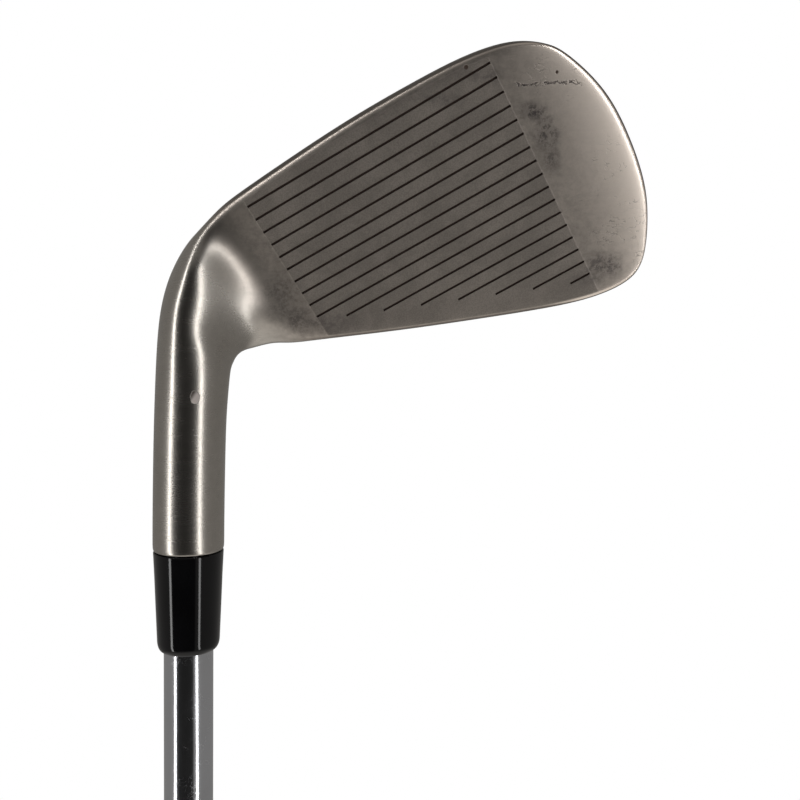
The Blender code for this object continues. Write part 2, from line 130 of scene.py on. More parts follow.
# Points round a heel section: shares along its front flat and its back flat, shares of the way
# round the nose, turns past the back flat, and places on the sole side, in degrees
FRONT_FLAT = (0.22, 0.60, 0.98)
NOSE_TURNS = (0.36, 0.64)
BACK_FLAT = (0.96, 0.60, 0.22)
BACK_TURNS = (14, 34)
SOLE_TURNS = (315, 331, 349, 369)
NOSE_START = 110
NOSE_SPAN = 140
RING_POINTS = 18
RING_START = 30
RING_STEP = math.radians(360 / RING_POINTS)
# A smoothed ring of this many points closes in by this much, so its cage stands out by as much
RING_SWELL = 6 / (4 + 2 * math.cos(RING_STEP))

# Grooves: cut across the face from the heel line to the toe line
GROOVE_COUNT = 17
GROOVE_PITCH = 0.002706
FIRST_GROOVE = 0.00382
HEEL_LINE = 0.01135
TOE_LINE = 0.06178
TOP_MARGIN_HEEL = 0.0312
TOP_MARGIN_SLOPE = 0.395
TOP_MARGIN_START = 0.0173

# Marks of use on the face, and patches of painted shade at the toe's corner: along, up, reach along each
# axis, strength
SMUDGES_AND_PAINTED_SHADE = (
    (0.0648, 0.0150, (0.0020, 0.004, 0.0014), 1.0),
    (0.0652, 0.0192, (0.0020, 0.004, 0.0026), 0.9),
    (0.0645, 0.0238, (0.0014, 0.004, 0.0016), 0.7),
    (0.0650, 0.0471, (0.0032, 0.004, 0.0018), 0.9),
    (0.0614, 0.0480, (0.0026, 0.004, 0.0012), 0.7),
    (0.0076, 0.0215, (0.0026, 0.006, 0.0044), 0.6),
    (0.0084, 0.0271, (0.0024, 0.006, 0.0024), 0.7),
    (0.0120, 0.0300, (0.0060, 0.006, 0.0016), 0.6),
    (0.0592, 0.0047, (0.0036, 0.004, 0.0010), 0.6),
    (0.0512, 0.0049, (0.0034, 0.004, 0.0009), 0.5),
)
# The crackled line across the toe: its middle and half length along, its height and slope
CRACKLE = (0.0692, 0.0056, 0.0119, -0.51)
# Pits: along, up, radius
PITS = ((0.0577, 0.0024, 0.00042), (0.0714, 0.0110, 0.00034))
HOSEL_PIT = (0.00605, -0.00298, JOINT_Z + 0.0318)
HOSEL_NICK = (0.00363, -0.00568, JOINT_Z + 0.0298)

# A groove's mouth flares past its width, and its floor is narrower by this share
GROOVE_FLARE = 1.4
GROOVE_TAPER = 0.55

# Ferrule
FERRULE_BORE = 0.00486
FERRULE_END_RADIUS = 0.00512
FERRULE_ROUNDING = 0.0020
FERRULE_SHOULDER = 0.0048
FERRULE_ROUND_STEPS = 10

# Shaft: steps down its length, wall at the butt, bore at the tip, and where the bore tapers
SHAFT_STEPS = 11
FIRST_STEP = 0.230
STEP_PITCH = 0.0381
BUTT_WALL = 0.0005
TIP_BORE = 0.0036
BORE_TAPER_LOW = 0.300
BORE_TAPER_HIGH = 0.210
BAND_GAP = 0.00004

# Grip and cap
GRIP_NECK = 0.0099
GRIP_NECK_LENGTH = 0.006
GRIP_FLARE_LENGTH = 0.020
GRIP_FLARE_DROP = 0.0009
CAP_SEAT = 0.0030
CAP_ROUNDING = 0.0018

# Grip pattern: rows of pads with channels pressed between them
PADS_AROUND = 12
PADS_DOWN = 1500
PAD_EDGE = (0.03, 0.30)
CHANNEL_DEPTH = 0.00018
GRIP_SIDES = 144
GRIP_ROW = 0.00055
PATTERN_MARGIN = 0.012
GRIP_WALL = 0.0012

# Back cavity: blade sections and back rows it spans, its lip, the run of its wall, and the steel left
# behind the face
CAVITY_SECTIONS = range(14, 19)
CAVITY_ROWS = range(10, 14)
CAVITY_LIP = 0.0012
CAVITY_WALL_RUN = 0.0014
CAVITY_FLOOR_DEPTH = 0.0042


# Studio: lights by height over the middle, azimuth, distance, width, height, power and lean
LIT_MIDDLE = Vector((0.0, 0.0, 0.88))
STRIPS = {
    "left_strip": (0.35, -41, 1.0, 0.13, 2.2, 5.6, 0),
    "right_strip": (0, 54, 1.0, 0.11, 1.5, 3.0, 18),
}
CAMERA_PLACE = Vector((0.062617, -0.146662, 0.951630))
CAMERA_AHEAD = Vector((-0.1453, 0.9880, -0.0530))
CAMERA_SIDE = Vector((0.9891, 0.1463, 0.0140))
CAMERA_LENS = 36.15


# ---------------------------------------------------------------- sizes and finishes to change

class IronClubSizes(bpy.types.PropertyGroup):
    """Sizes of the club's pieces."""

    hosel_radius: FloatProperty(
        name="Hosel radius", description="Outside radius of the hosel",
        default=0.00674, unit="LENGTH")
    socket_radius: FloatProperty(
        name="Socket radius", description="Radius of the bore that takes the shaft's tip",
        default=0.0051, unit="LENGTH")
    socket_depth: FloatProperty(
        name="Socket depth", description="How deep the shaft's tip goes into the hosel",
        default=0.0335, unit="LENGTH")
    groove_width: FloatProperty(
        name="Groove width", description="Width of a groove at the face",
        default=0.00042, unit="LENGTH")
    groove_depth: FloatProperty(
        name="Groove depth", description="Depth of a groove",
        default=0.0005, unit="LENGTH")
    ferrule_waist: FloatProperty(
        name="Ferrule waist", description="Radius of the ferrule half way down",
        default=0.00625, unit="LENGTH")
    ferrule_foot: FloatProperty(
        name="Ferrule foot", description="Radius of the ferrule where its end starts to round",
        default=0.00595, unit="LENGTH")
    shaft_tip: FloatProperty(
        name="Shaft tip radius", description="Radius of the shaft above its first step",
        default=0.0047, unit="LENGTH")
    step_rise: FloatProperty(
        name="Step rise", description="How much each step adds to the shaft's radius",
        default=0.000265, unit="LENGTH")
    grip_bore: FloatProperty(
        name="Grip bore", description="Radius of the hole down the grip",
        default=0.00829, unit="LENGTH")
    sides: IntProperty(
        name="Sides", description="Number of faces round a turned piece",
        default=96, min=24, max=128)


class IronClubFinishes(bpy.types.PropertyGroup):
    """Colours of the club's finishes."""

    steel: FloatVectorProperty(
        name="Satin steel", description="Colour of the brushed steel head",
        subtype="COLOR", size=3, default=(0.51, 0.455, 0.405))
    blasted: FloatVectorProperty(
        name="Blasted steel", description="Colour of the blasted hitting area",
        subtype="COLOR", size=3, default=(0.285, 0.256, 0.228))
    groove: FloatVectorProperty(
        name="Groove", description="Colour of the dirt and rust in the grooves",
        subtype="COLOR", size=3, default=(0.045, 0.027, 0.018))
    # Also the colour of the painted shade at the toe's corner
    tarnish_and_shade: FloatVectorProperty(
        name="Tarnish", description="Colour of smudges and scratches on the steel",
        subtype="COLOR", size=3, default=(0.13, 0.115, 0.11))
    chrome: FloatVectorProperty(
        name="Chrome", description="Colour of the plated shaft",
        subtype="COLOR", size=3, default=(0.62, 0.63, 0.66))
    acetate: FloatVectorProperty(
        name="Ferrule black", description="Colour of the ferrule",
        subtype="COLOR", size=3, default=(0.003, 0.003, 0.0035))
    rubber: FloatVectorProperty(
        name="Grip rubber", description="Colour of the grip",
        subtype="COLOR", size=3, default=(0.018, 0.018, 0.019))
    film: FloatVectorProperty(
        name="Band film", description="Colour of the band on the shaft",
        subtype="COLOR", size=3, default=(0.03, 0.035, 0.05))


def sizes():
    return bpy.context.scene.iron_club_sizes


def finishes():
    return bpy.context.scene.iron_club_finishes


# ---------------------------------------------------------------- making and placing pieces

def piece_from(name, bm, finish, node):
    """The finished piece, in place of its CAD node."""
    mesh = bpy.data.meshes.new(name)
    bm.to_mesh(mesh)
    bm.free()
    mesh.materials.append(finish)
    piece = bpy.data.objects.new(name, mesh)
    bpy.context.scene.collection.objects.link(piece)
    mesh.shade_smooth()
    mesh.set_sharp_from_angle(angle=math.radians(SHARP_DEGREES))
    return settle(piece, node)


def settle(piece, node):
    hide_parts(node)
    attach(piece, "root")
    return piece


def turned(name, profile, finish, node, sides=None, press=None):
    """A profile of (radius, height) points spun a full turn about the shaft's axis, then pressed."""
    bm = bmesh.new()
    points = [bm.verts.new((radius, 0, height)) for radius, height in profile]
    edges = [bm.edges.new(pair) for pair in zip(points, points[1:] + points[:1])]
    bmesh.ops.spin(
        bm, geom=points + edges, cent=(0, 0, 0), axis=(0, 0, 1), angle=math.tau,
        steps=sides or sizes().sides, use_merge=True)
    if press:
        for vertex in bm.verts:
            vertex.co.xy *= 1 - press(vertex.co) / vertex.co.xy.length
    bmesh.ops.remove_doubles(bm, verts=bm.verts, dist=0.000002)
    bmesh.ops.recalc_face_normals(bm, faces=bm.faces)
    return piece_from(name, bm, finish, node)


def arc(centre_radius, centre_height, radius, start, end, steps):
    """Points of a rounded corner in a turned profile, angles from outward toward up."""
    for step in range(steps + 1):
        angle = math.radians(start + (end - start) * step / steps)
        yield centre_radius + radius * math.cos(angle), centre_height + radius * math.sin(angle)


# ---------------------------------------------------------------- node helpers

def put(tree, kind, inputs=None, **settings):
    """Add a node. An input given as a socket is linked, and one given as a value is set."""
    made = tree.nodes.new(kind)
    for name, value in settings.items():
        setattr(made, name, value)
    for key, value in (inputs or {}).items():
        if isinstance(value, bpy.types.NodeSocket):
            tree.links.new(value, made.inputs[key])
        else:
            made.inputs[key].default_value = value
    return made


def math_node(tree, operation, first, second=0.0, third=0.0, clamp=False):
    made = put(tree, "ShaderNodeMath", {0: first, 1: second, 2: third}, operation=operation, use_clamp=clamp)
    return made.outputs[0]


def dot(tree, vector, way):
    return put(tree, "ShaderNodeVectorMath", {0: vector, 1: way}, operation="DOT_PRODUCT").outputs["Value"]


def ramp(tree, value, start, end):
    """0 below start, 1 above end, smooth between."""
    made = put(
        tree, "ShaderNodeMapRange", {"Value": value, "From Min": start, "From Max": end},
        interpolation_type="SMOOTHSTEP")
    return made.outputs["Result"]


def blend(tree, share, first, second):
    made = put(tree, "ShaderNodeMix", {"Factor": share, "A": first, "B": second}, data_type="FLOAT")
    return made.outputs["Result"]


def blend_colour(tree, share, first, second, mode="MIX"):
    made = put(tree, "ShaderNodeMix", data_type="RGBA", blend_type=mode)
    for index, value in ((0, share), (6, first), (7, second)):
        if isinstance(value, bpy.types.NodeSocket):
            tree.links.new(value, made.inputs[index])
        else:
            made.inputs[index].default_value = value
    return made.outputs[2]


def noise(tree, vector, scale, detail=3.0, roughness=0.55, distortion=0.0):
    made = put(tree, "ShaderNodeTexNoise", {
        "Vector": vector, "Scale": scale, "Detail": detail, "Roughness": roughness,
        "Distortion": distortion})
    return made.outputs["Fac"]


def stretched(tree, vector, scale, turn=(0, 0, 0)):
    made = put(tree, "ShaderNodeMapping", {"Vector": vector, "Scale": scale, "Rotation": turn})
    return made.outputs["Vector"]


def solid(colour):
    return (*colour, 1.0)


def shades(colour, factor):
    return (*(part * factor for part in colour), 1.0)


def new_group(name, inputs, outputs):
    """An empty node group with the named sockets."""
    tree = bpy.data.node_groups.new(name, "ShaderNodeTree")
    for socket_name, kind, default in inputs:
        made = tree.interface.new_socket(socket_name, in_out="INPUT", socket_type=kind)
        if default is not None:
            made.default_value = default
    for socket_name, kind in outputs:
        tree.interface.new_socket(socket_name, in_out="OUTPUT", socket_type=kind)
    ins = tree.nodes.new("NodeGroupInput").outputs
    outs = tree.nodes.new("NodeGroupOutput").inputs
    return tree, ins, outs


def grouped(tree, group, inputs):
    made = tree.nodes.new("ShaderNodeGroup")
    made.node_tree = group
    for key, value in inputs.items():
        if isinstance(value, bpy.types.NodeSocket):
            tree.links.new(value, made.inputs[key])
        else:
            made.inputs[key].default_value = value
    return made.outputs


def new_finish(name):
    """A material with its shader, and the object's own coordinates to paint it by."""
    finish = bpy.data.materials.new(name)
    finish.use_nodes = True
    tree = finish.node_tree
    shader = tree.nodes["Principled BSDF"]
    place = tree.nodes.new("ShaderNodeTexCoord").outputs["Object"]
    return finish, tree, shader, place


def feed(tree, shader, name, value):
    if isinstance(value, bpy.types.NodeSocket):
        tree.links.new(value, shader.inputs[name])
    else:
        shader.inputs[name].default_value = value


def bumped(tree, shader, height, distance, strength=1.0):
    made = put(tree, "ShaderNodeBump", {"Height": height, "Distance": distance, "Strength": strength})
    tree.links.new(made.outputs["Normal"], shader.inputs["Normal"])


# ---------------------------------------------------------------- effects shared by the finishes

def cloudy_group():
    """Slow changes of tint, as handling and light tarnish leave."""
    tree, ins, outs = new_group(
        "Cloudy Tint",
        (("Place", "NodeSocketVector", None), ("Patches", "NodeSocketFloat", 60.0),
         ("Light", "NodeSocketColor", None), ("Dark", "NodeSocketColor", None)),
        (("Colour", "NodeSocketColor"), ("Mask", "NodeSocketFloat")))
    slow = noise(tree, ins["Place"], ins["Patches"], 4, 0.6, 0.4)
    mask = ramp(tree, slow, 0.32, 0.68)
    tree.links.new(blend_colour(tree, mask, ins["Dark"], ins["Light"]), outs["Colour"])
    tree.links.new(mask, outs["Mask"])
    return tree


def turning_group():
    """Fine lines that run round a turned piece."""
    tree, ins, outs = new_group(
        "Turning Lines",
        (("Place", "NodeSocketVector", None), ("Lines", "NodeSocketFloat", 1.0)),
        (("Height", "NodeSocketFloat"), ("Mask", "NodeSocketFloat")))
    split = put(tree, "ShaderNodeSeparateXYZ", {"Vector": ins["Place"]}).outputs
    drift = noise(tree, ins["Place"], 90, 2)
    wobble = math_node(tree, "MULTIPLY_ADD", drift, 0.0006, split["Z"])
    lines = math_node(tree, "MULTIPLY", wobble, ins["Lines"])
    joined = put(tree, "ShaderNodeCombineXYZ", {"X": split["X"], "Y": split["Y"], "Z": lines})
    fine = noise(tree, stretched(tree, joined.outputs[0], (40, 40, 1)), 1.0, 5, 0.75)
    tree.links.new(fine, outs["Height"])
    tree.links.new(ramp(tree, fine, 0.35, 0.65), outs["Mask"])
    return tree


def scratch_group():
    """Sparse hairline scratches that run one way, wander, and come and go."""
    tree, ins, outs = new_group(
        "Hairline Scratches",
        (("Place", "NodeSocketVector", None), ("Spacing", "NodeSocketFloat", 500.0),
         ("Length", "NodeSocketFloat", 40.0), ("Thinness", "NodeSocketFloat", 0.02)),
        (("Mask", "NodeSocketFloat"),))
    drift = put(tree, "ShaderNodeTexNoise", {"Vector": ins["Place"], "Scale": 130.0, "Detail": 2.0})
    bent = put(tree, "ShaderNodeVectorMath", {
        0: drift.outputs["Color"], 1: (0.0006, 0.0006, 0.0006), 2: ins["Place"]}, operation="MULTIPLY_ADD")
    sizes_in = put(tree, "ShaderNodeCombineXYZ", {
        "X": ins["Length"], "Y": ins["Spacing"], "Z": ins["Spacing"]}).outputs[0]
    scaled = put(tree, "ShaderNodeVectorMath", {0: bent.outputs[0], 1: sizes_in}, operation="MULTIPLY")
    streak = noise(tree, scaled.outputs[0], 1.0, 2, 0.5)
    away = math_node(tree, "ABSOLUTE", math_node(tree, "SUBTRACT", streak, 0.5))
    line = math_node(tree, "SUBTRACT", 1.0, math_node(tree, "DIVIDE", away, ins["Thinness"]), clamp=True)
    patches = ramp(tree, noise(tree, ins["Place"], 210, 2), 0.52, 0.64)
    tree.links.new(math_node(tree, "MULTIPLY", line, patches), outs["Mask"])
    return tree


def grain_group():
    """A fine even grain, as blasting or moulding leaves, with a matching speckle."""
    tree, ins, outs = new_group(
        "Fine Grain",
        (("Place", "NodeSocketVector", None), ("Grains", "NodeSocketFloat", 5000.0)),
        (("Height", "NodeSocketFloat"), ("Mask", "NodeSocketFloat")))
    fine = noise(tree, ins["Place"], ins["Grains"], 2, 0.6)
    tree.links.new(fine, outs["Height"])
    tree.links.new(ramp(tree, fine, 0.38, 0.62), outs["Mask"])
    return tree


def shared(name, maker):
    """The shared node group of that name, made the first time it is asked for."""
    return bpy.data.node_groups.get(name) or maker()


def cloudy(tree, place, patches, light, dark):
    group = shared("Cloudy Tint", cloudy_group)
    return grouped(tree, group, {"Place": place, "Patches": patches, "Light": light, "Dark": dark})


def turning(tree, place, lines):
    return grouped(tree, shared("Turning Lines", turning_group), {"Place": place, "Lines": lines})


def scratches(tree, place, spacing, length, thinness):
    group = shared("Hairline Scratches", scratch_group)
    return grouped(tree, group, {
        "Place": place, "Spacing": spacing, "Length": length, "Thinness": thinness})["Mask"]


def grain(tree, place, grains):
    return grouped(tree, shared("Fine Grain", grain_group), {"Place": place, "Grains": grains})


# ---------------------------------------------------------------- the head's shape

def on_head(along, up, depth):
    """A point from its distance toward the toe, up the face, and in behind the face plane."""
    return FACE_ORIGIN + TOE_WAY * along + FACE_UP * up - FACE_OUT * depth


def circle_point(centre, across, radius, degrees, ridge=(0, 0)):
    """A point at an angle from the sole side, turning over the front, swollen to allow for smoothing."""
    angle = math.radians(degrees)
    reshaped = -ridge[0] if math.cos(angle) > 0 else ridge[1]
    side = across * (math.cos(angle) * (1 + reshaped * max(math.sin(angle), 0) ** 2))
    front = FRONT_WAY * math.sin(angle)
    return centre + (side + front) * (radius * RING_SWELL)


def round_ring(centre, across, radius):
    """Points around the hosel, from its sole side over the front, the crotch side and the back."""
    turns = [RING_START + index * 360 / RING_POINTS for index in range(RING_POINTS)]
    return [circle_point(centre, across, radius, turn) for turn in turns]


def heel_ring(tube, tube_radius, nose, nose_radius, across, spread, ridge):
    """The outline round two circles: the hosel's tube, and the thinner nose that becomes the topline.

    Spread runs from 0, points evenly round the circles, to 1, points shared along the flats between.
    """
    apart = nose - tube
    lean = math.degrees(math.atan2(apart.dot(FRONT_WAY), apart.dot(across)))
    open_angle = math.degrees(math.acos((tube_radius - nose_radius) / apart.length))
    front_flat = (lean - open_angle) % 360
    back_flat = (lean + open_angle) % 360
    tube_step = (front_flat - RING_START) / 4
    turns = [(RING_START + step * tube_step, 0) for step in range(4)]
    turns += [(front_flat, share) for share in FRONT_FLAT]
    turns += [(front_flat + (back_flat - front_flat) * share, 1) for share in NOSE_TURNS]
    turns += [(back_flat, share) for share in BACK_FLAT]
    turns += [(back_flat + turn, 0) for turn in BACK_TURNS]
    turns += [(turn, 0) for turn in SOLE_TURNS]
    ring = []
    for index, (degrees, share) in enumerate(turns):
        even = RING_START + index * 360 / RING_POINTS
        past_front = min(max(even - NOSE_START, 0), NOSE_SPAN) / NOSE_SPAN
        even_share = 0.5 - 0.5 * math.cos(math.tau * past_front)
        flats = circle_point(tube, across, tube_radius, degrees, ridge).lerp(
            circle_point(nose, across, nose_radius, degrees), share)
        rounds = circle_point(tube, across, tube_radius, even, ridge).lerp(
            circle_point(nose, across, nose_radius, even), even_share)
        ring.append(rounds.lerp(flats, spread))
    return ring


def blade_ring(low, high, bow, top_width, sole_width, eased=0.0):
    """A section of the blade between two (along, up) points, the middle bowed out to the toe."""
    height = high[1] - low[1]
    shares = (0, LOW_RIM / height, *MIDDLE_ROWS, 1 - HIGH_RIM / height, 1)

    def place(share, depth):
        along = low[0] + (high[0] - low[0]) * share + bow * (1 - abs(2 * share - 1) ** BOW_POWER)
        return on_head(along, low[1] + height * share, depth)

    front = [place(share, eased) for share in shares]
    top = [place(1, top_width * third / 3) for third in (1, 2)]
    back = []
    for share, thicker in zip(shares, BACK_SHARES):
        thickness = top_width + (sole_width - top_width) * thicker
        lift = SOLE_RISE * (sole_width - SOLE_RISE_FROM) * (1 - share) ** SOLE_RISE_POWER / height
        back.append(place(share + lift, thickness))
    back.reverse()
    sole = [place(rise / height, sole_width * share) for rise, share in SOLE_POINTS]
    return front + top + back + sole


def head_sections():
    """Sections from the hosel's mouth, round the heel and out to the toe."""
    radius = sizes().hosel_radius
    for height, lean, eased in HOSEL_SECTIONS:
        centre = Vector((lean * MM, 0, JOINT_Z + height * MM))
        yield round_ring(centre, Vector((-1, 0, 0)), radius - eased * MM)
    pivot = Vector((HEEL_TURN_X, 0, HEEL_TURN_Z))
    for degrees, inner, outer, nose_radius, back, spread, *ridge in HEEL_SECTIONS:
        turn = math.radians(degrees)
        across = Vector((-math.cos(turn), 0, math.sin(turn)))
        tube = pivot + across * (outer * MM - radius)
        nose = pivot + across * ((inner + nose_radius) * MM) - FRONT_WAY * (back * MM)
        yield heel_ring(tube, radius, nose, nose_radius * MM, across, spread, ridge)
    for along, low, high, tube_radius, share in ROOT_SECTIONS:
        flat = blade_ring(
            (along * MM, low * MM), (along * MM, high * MM), 0, ROOT_TOP_WIDTH, ROOT_SOLE_WIDTH)
        edge = on_head(along * MM, low * MM, 0)
        top = on_head(along * MM, high * MM, ROOT_NOSE_DEPTH)
        tube = Vector((edge.x, 0, edge.z)) + TOP_WAY * (tube_radius * MM)
        nose = top - TOP_WAY * ROOT_NOSE_RADIUS
        rounded = heel_ring(tube, tube_radius * MM, nose, ROOT_NOSE_RADIUS, -TOP_WAY, 1, ROOT_RIDGE)
        yield [a.lerp(b, share) for a, b in zip(rounded, flat)]
    for low, high, bow, top_width, sole_width, eased in BLADE_SECTIONS:
        yield blade_ring(
            (low[0] * MM, low[1] * MM), (high[0] * MM, high[1] * MM),
            bow * MM, top_width * MM, sole_width * MM, eased * MM)


def edge_between(first, second):
    return next(edge for edge in first.link_edges if edge.other_vert(first) is second)


def face_between(edge, faces):
    return next(face for face in edge.link_faces if face in faces)


def loft(bm, sections):
    """Extrude a ring of points from section to section, and return the last ring and each wall's faces."""
    sections = list(sections)
    ring = bmesh.ops.create_circle(bm, segments=RING_POINTS, radius=sizes().hosel_radius)["verts"]
    for vertex, point in zip(ring, sections[0]):
        vertex.co = point
    walls = []
    for section in sections[1:]:
        edges = [edge_between(a, b) for a, b in zip(ring, ring[1:] + ring[:1])]
        grown = bmesh.ops.extrude_edge_only(bm, edges=edges)["geom"]
        fresh = {item for item in grown if isinstance(item, bmesh.types.BMVert)}
        faces = {item for item in grown if isinstance(item, bmesh.types.BMFace)}
        walls.append([face_between(edge, faces) for edge in edges])
        ring = [
            next(edge.other_vert(vertex) for edge in vertex.link_edges if edge.other_vert(vertex) in fresh)
            for vertex in ring
        ]
        for vertex, point in zip(ring, section):
            vertex.co = point
    return ring, walls


def back_cavity(bm, walls):
    """Sink the middle of the back to a flat floor, behind a lip and a sloping wall."""
    region = [walls[section][row] for section in CAVITY_SECTIONS for row in CAVITY_ROWS]
    bmesh.ops.inset_region(bm, faces=region, thickness=CAVITY_LIP, use_even_offset=True)
    bmesh.ops.inset_region(bm, faces=region, thickness=CAVITY_WALL_RUN, use_even_offset=True)
    for vertex in {vertex for face in region for vertex in face.verts}:
        depth = (FACE_ORIGIN - vertex.co).dot(FACE_OUT)
        vertex.co += FACE_OUT * (depth - CAVITY_FLOOR_DEPTH)
    bmesh.ops.inset_region(bm, faces=region, thickness=CAVITY_WALL_RUN, use_even_offset=True)


def head_cage():
    """The head as a coarse closed cage, ready to be subdivided."""
    bm = bmesh.new()
    crease = bm.edges.layers.float.new("crease_edge")
    last, walls = loft(bm, head_sections())
    rails = last[:ROWS], last[ROWS + 2:2 * ROWS + 2]
    edges = [edge_between(a, b) for rail in rails for a, b in zip(rail, rail[1:])]
    bmesh.ops.grid_fill(bm, edges=edges, use_interp_simple=True)
    mouth = [edge for edge in bm.edges if edge.is_boundary]
    bmesh.ops.contextual_create(bm, geom=mouth)
    for edge in mouth:
        edge[crease] = 1.0
    bmesh.ops.recalc_face_normals(bm, faces=bm.faces)
    back_cavity(bm, walls)
    return bm


def groove_starts():
    """Each groove's height up the face and its heel end: the upper ones stop short of the topline."""
    for number in range(GROOVE_COUNT):
        up = FIRST_GROOVE + number * GROOVE_PITCH
        margin = TOP_MARGIN_START + (up - TOP_MARGIN_HEEL) / TOP_MARGIN_SLOPE
        yield up, max(HEEL_LINE, margin)


def groove_cutter():
    """One bar for each groove, narrower at its floor, standing half out of the face."""
    bm = bmesh.new()
    width, depth = sizes().groove_width, sizes().groove_depth
    turn = Matrix((FACE_UP, TOE_WAY, FACE_OUT)).transposed().to_4x4()
    for up, start in groove_starts():
        middle = on_head((start + TOE_LINE) / 2, up, 0)
        size = Matrix.Diagonal((width * GROOVE_FLARE, TOE_LINE - start, depth * 2, 1))
        bar = bmesh.ops.create_cube(bm, size=1, matrix=Matrix.Translation(middle) @ turn @ size)["verts"]
        for vertex in bar:
            if (vertex.co - middle).dot(FACE_OUT) < 0:
                vertex.co -= FACE_UP * ((vertex.co - middle).dot(FACE_UP) * GROOVE_TAPER)
    return bm


def socket_cutter():
    bm = bmesh.new()
    radius = sizes().socket_radius
    bmesh.ops.create_cone(
        bm, cap_ends=True, segments=sizes().sides, radius1=radius, radius2=radius,
        depth=sizes().socket_depth * 2, matrix=Matrix.Translation((0, 0, JOINT_Z)))
    return bm


def loose_object(name, bm):
    mesh = bpy.data.meshes.new(name)
    bm.to_mesh(mesh)
    bm.free()
    made = bpy.data.objects.new(name, mesh)
    bpy.context.scene.collection.objects.link(made)
    return made


def head_mesh():
    """The head subdivided, with its socket and grooves cut, as plain mesh."""
    body = loose_object("head_cage", head_cage())
    cutters = [loose_object("socket_cutter", socket_cutter()), loose_object("groove_cutter", groove_cutter())]
    subdivision = body.modifiers.new("round", "SUBSURF")
    subdivision.levels = 3
    subdivision.render_levels = 3
    for cutter in cutters:
        boolean = body.modifiers.new("cut", "BOOLEAN")
        boolean.operation = "DIFFERENCE"
        boolean.solver = "EXACT"
        boolean.object = cutter
    view = bpy.context.evaluated_depsgraph_get()
    mesh = bpy.data.meshes.new_from_object(body.evaluated_get(view))
    for item in [body, *cutters]:
        bpy.data.objects.remove(item)
    return mesh


# ---------------------------------------------------------------- the head's finish

def face_zones_group():
    """Where a point lies on the face, and masks for the blasted area, the grooves, the painted shade on the
    rims and the painted highlight inside the toe and sole edges.
    """
    tree, ins, outs = new_group(
        "Face Zones",
        (("Place", "NodeSocketVector", None),),
        (("Along", "NodeSocketFloat"), ("Up", "NodeSocketFloat"), ("Depth", "NodeSocketFloat"),
         ("Blasted", "NodeSocketFloat"), ("Groove", "NodeSocketFloat"), ("Painted Rim Shade", "NodeSocketFloat"),
         ("Painted Highlight", "NodeSocketFloat")))
    local = put(
        tree, "ShaderNodeVectorMath", {0: ins["Place"], 1: FACE_ORIGIN}, operation="SUBTRACT").outputs[0]
    along = dot(tree, local, TOE_WAY)
    up = dot(tree, local, FACE_UP)
    depth = dot(tree, local, -FACE_OUT)
    edge = 0.00018
    past_heel = ramp(tree, along, HEEL_LINE - edge, HEEL_LINE + edge)
    before_toe = ramp(tree, along, TOE_LINE + edge, TOE_LINE - edge)
    on_face = math_node(
        tree, "MULTIPLY", ramp(tree, depth, 0.0012, 0.0008), ramp(tree, up, 0.0012, 0.0020))
    between = math_node(tree, "MULTIPLY", past_heel, before_toe)
    blasted = math_node(tree, "MULTIPLY", between, on_face)
    below = ramp(tree, depth, 0.00004, 0.00009)
    rise = math_node(tree, "MULTIPLY_ADD", along, -TOP_MARGIN_SLOPE, up)
    limit = TOP_MARGIN_HEEL - TOP_MARGIN_SLOPE * TOP_MARGIN_START
    under_margin = ramp(tree, rise, limit + 0.0008, limit + 0.0005)
    inside = math_node(tree, "MULTIPLY", math_node(tree, "MULTIPLY", blasted, below), under_margin)
    low = ramp(tree, up, 0.0030, 0.0032)
    facing = tree.nodes.new("ShaderNodeNewGeometry").outputs["Normal"]
    upward = dot(tree, facing, FACE_UP)
    near_toe = ramp(tree, along, 0.050, 0.060)
    # Painted shade: the rounded rims at the toe, topline and sole are darkened as if they reflected a dark
    # room
    rim = strongest(tree, [
        ramp(tree, dot(tree, facing, TOE_WAY), 0.36, 0.62),
        ramp(tree, math_node(tree, "MULTIPLY_ADD", near_toe, -0.25, upward), 0.15, 0.41),
        ramp(tree, dot(tree, facing, -FACE_UP), 0.66, 0.84)])
    front = math_node(
        tree, "MULTIPLY", ramp(tree, depth, 0.0075, 0.0040), ramp(tree, along, 0.0, 0.014))
    rim = math_node(tree, "MULTIPLY", rim, front)
    # Painted highlight: a band of lighter colour on the rounding just inside the toe and sole edges, standing
    # in for a reflected strip light
    toe_rim_highlight = ramp(tree, dot(tree, facing, TOE_WAY), 0.12, 0.26)
    dimmed = blend(tree, ramp(tree, up, 0.036, 0.041), 1.0, 0.45)
    sole_rim_highlight = ramp(tree, dot(tree, facing, -FACE_UP), 0.20, 0.45)
    painted_highlight = strongest(tree, [
        math_node(tree, "MULTIPLY", toe_rim_highlight, dimmed),
        math_node(tree, "MULTIPLY", ramp(tree, upward, 0.10, 0.25), near_toe),
        math_node(tree, "MULTIPLY", sole_rim_highlight, 0.35)])
    painted_highlight = math_node(tree, "MULTIPLY", painted_highlight, math_node(tree, "SUBTRACT", front, rim, clamp=True))
    flat = ramp(tree, dot(tree, facing, FACE_OUT), 0.975, 0.990)
    for name, value in (
            ("Along", along), ("Up", up), ("Depth", depth),
            ("Blasted", math_node(tree, "MULTIPLY", blasted, flat)),
            ("Groove", math_node(tree, "MULTIPLY", inside, low)), ("Painted Rim Shade", rim), ("Painted Highlight", painted_highlight)):
        tree.links.new(value, outs[name])
    return tree


